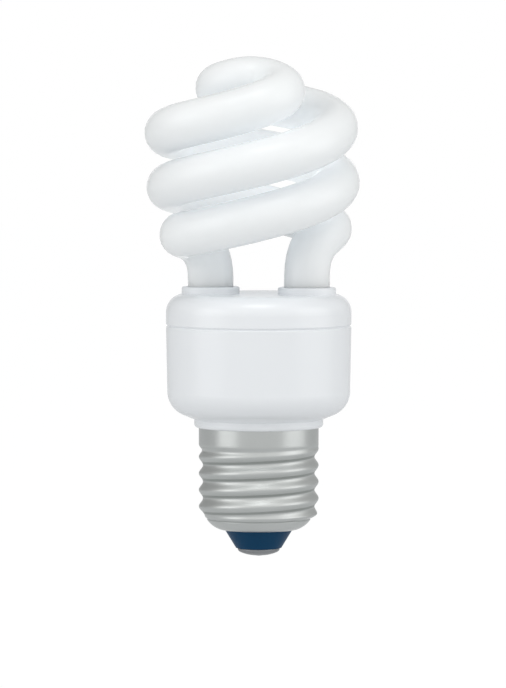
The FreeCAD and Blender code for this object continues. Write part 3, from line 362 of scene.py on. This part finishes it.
# %% Plain finishes
def speckled(name, dark, light, roughness, per_metre=800, metal=0.0, depth=0.02 * MM, scale=(1, 1, 1),
             detail=4.0, dulling=0.15, strength=0.4):
    """A finish of one colour, uneven in tone, in gloss and in height."""
    finish = Finish(name, Metallic=metal)
    speck = finish.noise(per_metre, detail=detail, scale=scale)
    finish.set("Base Color", finish.blend(speck, dark, light))
    finish.set("Roughness", roughness + dulling * speck)
    finish.bump(speck, depth, strength)
    finish.tell()
    return finish


# %% Contact and solder
contact_metal = speckled("contact_metal", (0.27, 0.28, 0.29), (0.36, 0.37, 0.38), 0.30, per_metre=900,
                         metal=1.0, depth=0.03 * MM, dulling=0.2)
solder = speckled("solder", (0.46, 0.46, 0.47), (0.60, 0.60, 0.61), 0.28, per_metre=1500, metal=1.0,
                  depth=0.05 * MM, detail=3.0, dulling=0.25, strength=0.5)

# %% [markdown]
# Nothing inside the housing shows on a closed lamp, but each piece still has the finish of the real one, so
# that the model also holds up when it is opened.

# %% Small parts' finishes
leg_cement = speckled("leg_cement", (0.72, 0.74, 0.76), (0.80, 0.82, 0.83), 0.55)
board_laminate = speckled("board_laminate", (0.42, 0.24, 0.09), (0.52, 0.33, 0.14), 0.45, scale=(1, 8, 1))
capacitor_sleeve = speckled("capacitor_sleeve", (0.010, 0.014, 0.030), (0.020, 0.026, 0.045), 0.22)
film_coating = speckled("film_coating", (0.26, 0.040, 0.012), (0.36, 0.060, 0.018), 0.18, per_metre=500)
ferrite = speckled("ferrite", (0.030, 0.030, 0.032), (0.055, 0.055, 0.058), 0.55, per_metre=1500)
bobbin_plastic = speckled("bobbin_plastic", (0.58, 0.56, 0.50), (0.66, 0.64, 0.58), 0.40)
black_epoxy = speckled("black_epoxy", (0.014, 0.014, 0.015), (0.028, 0.028, 0.029), 0.50, per_metre=2500)
diac_glass = speckled("diac_glass", (0.05, 0.12, 0.34), (0.08, 0.17, 0.42), 0.12)
resistor_lacquer = speckled("resistor_lacquer", (0.48, 0.36, 0.20), (0.58, 0.46, 0.28), 0.38)
plated_wire = speckled("plated_wire", (0.52, 0.52, 0.52), (0.66, 0.66, 0.66), 0.25, per_metre=1200, metal=1.0)

# %% [markdown]
# Enamelled copper wire lies in close turns. The turns are bands of height along the winding, with the thin
# gap between them sunk and painted dark as shade, and the enamel gives the copper its gloss. A wave texture
# of scale 1 goes through twenty radians in a metre, and a band takes a full turn, so its scale comes from the
# wire's pitch.

# %% Copper windings
WIRE_PITCH = 0.4
WAVE_RADIANS = 20
WIRE_GAP_PAINTED_SHADE = (0.16, 0.050, 0.016)
WIRE_LIGHT = (0.62, 0.24, 0.09)

copper_wire = Finish("copper_wire", Metallic=0.85, Roughness=0.28)
turns = copper_wire.node("TexWave", {"wave_type": "BANDS", "bands_direction": "Z"},
                         {"Vector": copper_wire.place(), "Distortion": 0.3,
                          "Scale": 2 * math.pi / WAVE_RADIANS / (WIRE_PITCH * MM)}, "Fac")
# The colour darkens to painted shade in the gaps between the turns.
copper_wire.set("Base Color", copper_wire.blend(turns, WIRE_GAP_PAINTED_SHADE, WIRE_LIGHT))
copper_wire.bump(turns, depth=0.15 * MM, strength=0.8)
copper_wire.tell()

# %% [markdown]
# ## Finishes on the solid model
# The record beside the solid model names a finish for each of its nodes. It goes into the node's slot, and
# the mesh stays as it came.

# %% Put the finishes on the solid model's nodes
finishes = {finish.name: finish.material for finish in (
    lamp_glass, housing_plastic, cap_metal, cap_insulator, contact_metal, solder, leg_cement, board_laminate,
    capacitor_sleeve, film_coating, ferrite, bobbin_plastic, black_epoxy, diac_glass, resistor_lacquer,
    plated_wire, copper_wire)}
slot_of = {entry["node"]: entry["material_slot"] for entry in frame["record"]["subparts"]}
for name, node in nodes.items():
    for holder in node.material_slots:
        holder.material = finishes[slot_of[name]]
print(len(nodes), "nodes with", len(set(slot_of.values())), "finishes")

# %% [markdown]
# ## Working in edit mode
# An operator works on whatever is selected, so each step begins by selecting exactly what it is for. Helpers
# do that: one leaves a single piece selected, the other picks vertices by their place. A third one ends the
# work on a piece.


# %% Selection helpers
def only(piece):
    """Leaves one piece selected and active."""
    bpy.ops.object.select_all(action="DESELECT")
    piece.select_set(True)
    bpy.context.view_layer.objects.active = piece


def pick(piece, chosen):
    """In edit mode, selects the vertices that a test on their place chooses."""
    shape = bmesh.from_edit_mesh(piece.data)
    for vertex in shape.verts:
        vertex.select = chosen(vertex.co)
    shape.select_mode = {"VERT"}
    shape.select_flush_mode()
    bmesh.update_edit_mesh(piece.data)


def finished(piece, name, slot):
    """Names a piece, smooths it, gives it its finish and lets it ride with the lamp."""
    only(piece)
    bpy.ops.object.transform_apply(location=True, rotation=True, scale=True)
    bpy.ops.object.shade_smooth()
    piece.name = name
    piece.data.name = name
    piece.data.materials.clear()
    piece.data.materials.append(finishes[slot])
    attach(piece, "root")
    print(name, len(piece.data.polygons), "faces")
    return piece


# %% [markdown]
# ## The glass tube
# A glass blower winds the softened tube round a grooved mandrel, from the middle of the tube outwards, so
# both strands are equal and the middle becomes the bridge on top. Its line is a formula: a turning point that
# sinks, drawn in at the top for the bridge and at the bottom for the legs. A curve with a round bevel follows
# that line with no corner, which a chain of solid arcs can only come near. Its radius is a hundredth of a
# millimetre less than the solid tube's, which keeps it within the solid's box.

# %% The sizes of the glass, in millimetres
TUBE_RADIUS = 4.99
SPIRAL_RADIUS = 18.25
BRIDGE_RADIUS = 13.95
WIDENING_END = math.radians(149.0)
BRIDGE_EASING = math.radians(14.0)
SPIRAL_PITCH = 23.83
STRAND_TURN = math.radians(478.0)
STRAND_END_RADIUS = 16.19
STRAND_END_HEIGHT = 16.02
BEND_PULL = 0.967
BEND_LIFT = 0.632
LEG_ACROSS = 10.5
LEG_ALONG = 2.05
LEG_STRAIGHT = 3.9
LEG_DEPTH = 4.5
COLLAR_HEIGHT = 1.5
LEAN_SIDE = math.tan(math.radians(1.91))
LEAN_FRONT = math.tan(math.radians(3.95))
LEAN_SHIFT = 0.43
LEAN_FULL = 20.5

plate_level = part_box("top_cover")[1].z / MM - COLLAR_HEIGHT
print("the cover's plate lies", round(plate_level, 2), "mm up")


# %% A strand, from the bridge down
def eased(share):
    """Goes smoothly from 0 to 1."""
    share = min(1.0, max(0.0, share))
    return share * share * (3 - 2 * share)


def sunk(turn):
    """How far a strand has sunk at an angle, eased in over the bridge."""
    return SPIRAL_PITCH * (math.hypot(turn, BRIDGE_EASING) - BRIDGE_EASING) / (2 * math.pi)


def strand_point(turn):
    """A point of one strand, by its angle down from the top of the bridge."""
    quarter = math.pi / 2
    whole = 2 * math.pi
    radius = BRIDGE_RADIUS * math.sin(min(turn, quarter))
    radius += (SPIRAL_RADIUS - BRIDGE_RADIUS) * eased((turn - quarter) / (WIDENING_END - quarter))
    radius -= (SPIRAL_RADIUS - STRAND_END_RADIUS) * eased((turn - whole) / (STRAND_TURN - whole))
    return Vector((radius * math.cos(turn), -radius * math.sin(turn),
                   STRAND_END_HEIGHT + sunk(STRAND_TURN) - sunk(turn)))


HEADING_STEP = 0.001
strand_end = strand_point(STRAND_TURN)
strand_heading = (strand_end - strand_point(STRAND_TURN - HEADING_STEP)).normalized()
print("the strand ends at", [round(value, 2) for value in strand_end])

# %% The bend to a leg, and the lean of it all
leg_top = Vector((-LEG_ACROSS, LEG_ALONG, LEG_STRAIGHT))
bend_span = (leg_top - strand_end).length


def bend_point(share):
    """A point of the bend that brings a strand in to its upright leg."""
    rest = 1 - share
    pull = strand_end + strand_heading * bend_span * BEND_PULL
    lift = leg_top + Vector((0, 0, bend_span * BEND_LIFT))
    return (strand_end * rest ** 3 + pull * (3 * rest * rest * share) + lift * (3 * rest * share * share)
            + leg_top * share ** 3)


def leant(place):
    """The spiral leans and sits off centre a little, from the straight legs up."""
    share = eased((place.z - LEG_STRAIGHT) / (LEAN_FULL - LEG_STRAIGHT))
    side = share * LEAN_SIDE
    front = share * LEAN_FRONT
    return Vector((place.x - share * LEAN_SHIFT - side * place.z, place.y - front * place.z,
                   plate_level + place.z + side * place.x + front * place.y))


print("the bend spans", round(bend_span, 2), "mm")

# %% The whole line, from one leg's end to the other's
STRAND_STEPS = 104
BEND_STEPS = 18
LEG_STEPS = 4

half = [strand_point(STRAND_TURN * step / STRAND_STEPS) for step in range(STRAND_STEPS + 1)]
half += [bend_point(step / BEND_STEPS) for step in range(1, BEND_STEPS + 1)]
half += [leg_top - Vector((0, 0, (LEG_STRAIGHT + LEG_DEPTH) * step / LEG_STEPS))
         for step in range(1, LEG_STEPS + 1)]
other_half = [Vector((-place.x, -place.y, place.z)) for place in half[:0:-1]]
line = [leant(place) * MM for place in other_half + half]
print("the line has", len(line), "points")

# %% [markdown]
# A path curve starts with five points. It gets one for each place on the line, and a bevel as thick as the
# glass. Made a mesh, it has even rings of four-sided faces, which is what the next step pulls on.

# %% Sweep the tube
CURVE_ORDER = 4
STEPS_BETWEEN_POINTS = 3
BEVEL_STEPS = 12

bpy.ops.object.select_all(action="DESELECT")
bpy.ops.curve.primitive_nurbs_path_add(location=(0, 0, 0))
tube = bpy.context.object
spline = tube.data.splines[0]
spline.points.add(len(line) - len(spline.points))
for point, place in zip(spline.points, line):
    point.co = (*place, 1.0)
spline.order_u = CURVE_ORDER
spline.use_endpoint_u = True
tube.data.resolution_u = STEPS_BETWEEN_POINTS
tube.data.dimensions = "3D"
tube.data.twist_mode = "MINIMUM"
tube.data.bevel_depth = TUBE_RADIUS * MM
tube.data.bevel_resolution = BEVEL_STEPS
tube.data.use_fill_caps = False
only(tube)
bpy.ops.object.convert(target="MESH")
tube = bpy.context.object
print("tube", len(tube.data.polygons), "faces")

# %% [markdown]
# Each leg ends in a pinch, where the maker squeezed the hot glass flat round two wires to seal it. The open
# ring at the leg's end is extruded downwards in steps, narrower across and thinner from step to step.

# %% Pinch the ends shut
PINCH_HEIGHT = 2.2
PINCH_WIDTH = 8.4
PINCH_THICKNESS = 2.6
PINCH_STEPS = 6
END_RING_REACH = 0.05 * MM

round_end = 2 * TUBE_RADIUS
end_level = (plate_level - LEG_DEPTH) * MM
drop = PINCH_HEIGHT / PINCH_STEPS * MM
bpy.ops.object.mode_set(mode="EDIT")
for side in (-1, 1):
    pick(tube, lambda place: abs(place.z - end_level) < END_RING_REACH and place.x * side > 0)
    thick = wide = round_end
    for step in range(1, PINCH_STEPS + 1):
        share = eased(step / PINCH_STEPS)
        new_thick = round_end + (PINCH_THICKNESS - round_end) * share
        new_wide = round_end + (PINCH_WIDTH - round_end) * share
        bpy.ops.mesh.extrude_region_move(TRANSFORM_OT_translate={"value": (0, 0, -drop)})
        centre = (side * LEG_ACROSS * MM, -side * LEG_ALONG * MM, end_level - drop * step)
        bpy.ops.transform.resize(value=(new_thick / thick, new_wide / wide, 1), center_override=centre)
        thick, wide = new_thick, new_wide
    bpy.ops.mesh.edge_face_add()
bpy.ops.mesh.select_all(action="SELECT")
bpy.ops.mesh.normals_make_consistent(inside=False)
bpy.ops.object.mode_set(mode="OBJECT")
glass_spiral = finished(tube, "glass_spiral", "lamp_glass")
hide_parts("spiral_tube")

# %% [markdown]
# ## The threaded shell
# The thread is rolled into thin sheet, so it is a wave and not a cut, and the wave is equally deep inside. A
# level circle that is a little off centre, and whose centre goes round as it rises, traces exactly such a
# thread. So the shell is one ring of edges, extruded upwards some twenty times in each turn of the thread.
# Under the thread the sheet is drawn in to a round shoulder, with one fine groove round it.

# %% The sizes of the shell, in millimetres
THREAD_DEPTH = 0.9
CREST_RADIUS = 13.1
THREAD_START_RUN = 1.2
THREAD_END_RUN = 1.8
SHOULDER_HEIGHT = 5.0
SHOULDER_ROUND = 5.25
MOUTH_RADIUS = 7.5
MOUTH_LIFT = 0.02
GROOVE_TURN = math.radians(59.7)
GROOVE_REACH = math.radians(4.0)
GROOVE_DEPTH = 0.22
SHELL_WALL = 0.3

shell_low, shell_high = (corner.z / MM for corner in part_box("screw_shell"))
shoulder_centre = CREST_RADIUS - THREAD_DEPTH - SHOULDER_ROUND
shoulder_level = shell_low + SHOULDER_HEIGHT
print("the shell goes from", round(shell_low, 2), "to", round(shell_high, 2), "mm")


# %% One ring of the shell
def shell_ring(height):
    """The radius of the ring at a height, and how far it is off centre."""
    below = max(0.0, shoulder_level - height)
    root = shoulder_centre + math.sqrt(SHOULDER_ROUND ** 2 - below ** 2)
    from_groove = abs(math.acos(below / SHOULDER_ROUND) - GROOVE_TURN)
    root -= GROOVE_DEPTH * (1 - eased(from_groove / GROOVE_REACH))
    run_in = eased((height - THREAD_FROM) / THREAD_START_RUN)
    run_out = eased((BAND_FROM - height) / THREAD_END_RUN)
    wave = THREAD_DEPTH / 2
    return root + wave * run_in + wave * (1 - run_out), wave * min(run_in, run_out)


def ring_centre(height, offset):
    """Where the ring's centre lies, so far off the axis and turned as far as the thread is there."""
    angle = THREAD_TURN + 2 * math.pi * (height - BAND_FROM) / THREAD_PITCH
    return Vector((offset * math.cos(angle), offset * math.sin(angle), height))


# %% [markdown]
# The rings lie closest where the surface turns most: on the shoulder they are spread by angle, in the thread
# evenly, and on the plain band they crowd towards the rim, so that its smooth shading isn't bent by the edge.

# %% The heights of the rings
RINGS_PER_PITCH = 24
SHOULDER_RINGS = 26
BAND_RINGS = (0.1, 0.3, 0.6, 0.9, 0.97, 0.99, 1.0)

low_turn = math.acos((SHOULDER_HEIGHT - MOUTH_LIFT) / SHOULDER_ROUND)
high_turn = math.acos((shoulder_level - THREAD_FROM) / SHOULDER_ROUND)
turn_step = (high_turn - low_turn) / SHOULDER_RINGS
heights = [shoulder_level - SHOULDER_ROUND * math.cos(low_turn + turn_step * step)
           for step in range(SHOULDER_RINGS)]
count = round((BAND_FROM - THREAD_FROM) / THREAD_PITCH * RINGS_PER_PITCH)
heights += [THREAD_FROM + (BAND_FROM - THREAD_FROM) * step / count for step in range(count + 1)]
heights += [BAND_FROM + (shell_high - BAND_FROM) * share for share in BAND_RINGS]
print(len(heights), "rings from", round(heights[0], 2), "to", round(heights[-1], 2))


# %% Extrude the shell ring by ring
def stack_of_rings(rings, sides):
    """A surface through level circles, each given by its centre and radius in millimetres."""
    centre, radius = rings[0]
    bpy.ops.object.select_all(action="DESELECT")
    bpy.ops.mesh.primitive_circle_add(vertices=sides, radius=radius * MM, location=centre * MM)
    piece = bpy.context.object
    bpy.ops.object.transform_apply(location=True)
    bpy.ops.object.mode_set(mode="EDIT")
    bpy.ops.mesh.select_all(action="SELECT")
    for new_centre, new_radius in rings[1:]:
        bpy.ops.mesh.extrude_region_move(TRANSFORM_OT_translate={"value": (new_centre - centre) * MM})
        grow = new_radius / radius
        bpy.ops.transform.resize(value=(grow, grow, 1), center_override=new_centre * MM)
        centre, radius = new_centre, new_radius
    bpy.ops.mesh.select_all(action="SELECT")
    bpy.ops.mesh.remove_doubles(threshold=0.001 * MM)
    bpy.ops.mesh.normals_make_consistent(inside=False)
    bpy.ops.object.mode_set(mode="OBJECT")
    print("stack of", len(rings), "rings,", len(piece.data.polygons), "faces")
    return piece


SHELL_SIDES = 128
rings = [(Vector((0, 0, shell_low + MOUTH_LIFT)), MOUTH_RADIUS)]
for height in heights:
    radius, offset = shell_ring(height)
    rings.append((ring_centre(height, offset), radius))
shell = stack_of_rings(rings, SHELL_SIDES)

# %% Give the sheet its thickness
only(shell)
wall = shell.modifiers.new("Wall", "SOLIDIFY")
wall.thickness = SHELL_WALL * MM
wall.offset = -1
wall.use_even_offset = True
bpy.ops.object.modifier_apply(modifier=wall.name)
cap_shell = finished(shell, "threaded_cap_shell", "cap_metal")
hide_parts("screw_shell")

# %% [markdown]
# ## The centre contact
# The contact is a plated disc pressed into a low dome, fuller towards its edge than a ball would be. It is
# the same stack of rings, from the hole for the solder out over the dome, up the edge and back along the
# inside, where the last ring meets the first. Each pair is a ring's radius and its height.

# %% Press the contact
CONTACT_SIDES = 96
CONTACT_HOLE = 1.40
CONTACT_EDGE = 4.60
CONTACT_TOP = 1.80
OVER_THE_DOME = ((CONTACT_HOLE, 0.20), (1.8, 0.23), (2.2, 0.29), (2.6, 0.37), (3.0, 0.48), (3.4, 0.61),
                 (3.8, 0.76), (4.1, 0.90), (4.3, 1.02), (4.45, 1.16), (4.55, 1.33), (CONTACT_EDGE, 1.55))
BACK_INSIDE = ((CONTACT_EDGE, CONTACT_TOP), (4.30, CONTACT_TOP), (3.0, 1.62), (CONTACT_HOLE, 1.40),
               (CONTACT_HOLE, 0.80), (CONTACT_HOLE, 0.20))

rings = [(Vector((0, 0, height)), radius) for radius, height in OVER_THE_DOME + BACK_INSIDE]
dome = finished(stack_of_rings(rings, CONTACT_SIDES), "contact_dome", "contact_metal")
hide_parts("centre_contact")

# %% [markdown]
# ## Floor and backdrop
# The lamp is shown as if held, over a pale floor that lies below it, so only a soft shade falls there. To the
# camera the paper is mostly white by itself, and takes just enough of the light to keep that shade. Metal
# shows the same white, but only from the wedge of floor behind the lamp, which is what the photograph shows.

# %% Floor
FLOOR_DROP = 0.06
FLOOR_SIZE = 8.0
FLOOR_GREY = (0.78, 0.79, 0.80, 1.0)
FLOOR_IN_VIEW_FROM = 0.24
WEDGE_SLOPE = 4
WHITE = (1, 1, 1, 1)
PAPER_WHITE = 1.06
PAPER_WHITE_SHARE = 0.88

bpy.ops.object.select_all(action="DESELECT")
bpy.ops.mesh.primitive_plane_add(size=FLOOR_SIZE, location=(0, 0, cad_box[0][2] - FLOOR_DROP))
floor = bpy.context.object
floor.name = "floor"
bpy.ops.object.transform_apply(location=True)
paper = Finish("paper", Roughness=0.9, Base_Color=FLOOR_GREY, Specular_IOR_Level=0.0)
lit_paper = Value(paper, paper.shader.outputs[0])
white_paper = paper.node("Emission", {}, {"Color": WHITE, "Strength": PAPER_WHITE})
across, along, _ = paper.split(paper.place())
behind_lamp = paper.ease(along - WEDGE_SLOPE * paper.maths("ABSOLUTE", across), 0.0, FLOOR_IN_VIEW_FROM)
shown = paper.node("MixShader", {}, {0: paper.background(behind_lamp) * PAPER_WHITE_SHARE, 1: lit_paper,
                                     2: white_paper})
paper.join(paper.tree.nodes["Material Output"].inputs["Surface"], shown)
paper.tell()
floor.data.materials.append(paper.material)
floor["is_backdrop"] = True

# %% [markdown]
# ## The room
# The room around the lamp is a pale studio: lighter above, a mid grey where the camera stands, darker at the
# sides behind the lamp, and white straight behind it. White plastic hardly shows that, but the metal does: it
# is what gives a round cap its dark edges. The room is a sum on the direction that a ray goes, whose three
# numbers lie between -1 and 1.

# %% Studio
ROOM_LEVEL = 0.88
ROOM_BELOW = 0.72
ROOM_ABOVE = 1.0
BACK_LEFT = 0.40
BACK_RIGHT = 0.50
BELOW_FADE = (-0.3, 0.0)
ABOVE_FADE = (0.1, 0.8)
BACK_FADE = (-0.25, 0.20)
LEFT_TO_RIGHT = (-0.5, 0.5)
STRAIGHT_BEHIND = (0.95, 0.97)

world = bpy.data.worlds.new("studio")
bpy.context.scene.world = world
world.use_nodes = True
room = Graph(world.node_tree)
across, along, up = room.split(room.node("TexCoord", output="Generated"))
front = (room.ease(up, *BELOW_FADE, ROOM_BELOW, ROOM_LEVEL)
         + room.ease(up, *ABOVE_FADE, 0.0, ROOM_ABOVE - ROOM_LEVEL))
back = room.ease(along, *BACK_FADE)
around = front * (1 - back) + back * room.ease(across, *LEFT_TO_RIGHT, BACK_LEFT, BACK_RIGHT)
white = room.background(room.ease(along, *STRAIGHT_BEHIND))
surface = world.node_tree.nodes["Background"]
room.join(surface.inputs["Color"], WHITE)
room.join(surface.inputs["Strength"], around * (1 - white) + white)
print("room", len(room.tree.nodes), "nodes")


# %% [markdown]
# ## The lights
# Two tall panels stand in front at the left and the right, and draw the two upright highlights on the metal.
# A smaller one above gives the tube and the cover their bright upper sides.


# %% Light panels
def panel(name, place, size, glow):
    """Adds a panel that faces the lamp. Its glow is how bright it looks, where 1 is white."""
    bpy.ops.object.light_add(type="AREA", location=place)
    light = bpy.context.object
    light.name = name
    light.data.shape = "RECTANGLE"
    light.data.size, light.data.size_y = size
    light.data.energy = glow * math.pi * size[0] * size[1]
    light.rotation_euler = (aim - Vector(place)).to_track_quat("-Z", "Y").to_euler()
    print(name, round(light.data.energy, 2), "W")


panel("left_panel", place=(-1.0, -0.50, 0.15), size=(0.80, 1.3), glow=0.86)
panel("right_panel", place=(1.07, -0.30, 0.15), size=(1.0, 1.3), glow=0.74)
panel("top_panel", place=(0.0, -0.52, 1.15), size=(0.50, 0.32), glow=2.45)

# %% [markdown]
# ## The sizes
# The box of the solids alone is kept beside that of the lamp as it is shown, so that the two can be compared.

# %% Keep the sizes and finish
bpy.context.view_layer.update()
boxes = {"cad": cad_box, "visual": [list(corner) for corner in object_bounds()]}
for name, corners in boxes.items():
    print(name, [[round(value, 4) for value in corner] for corner in corners])
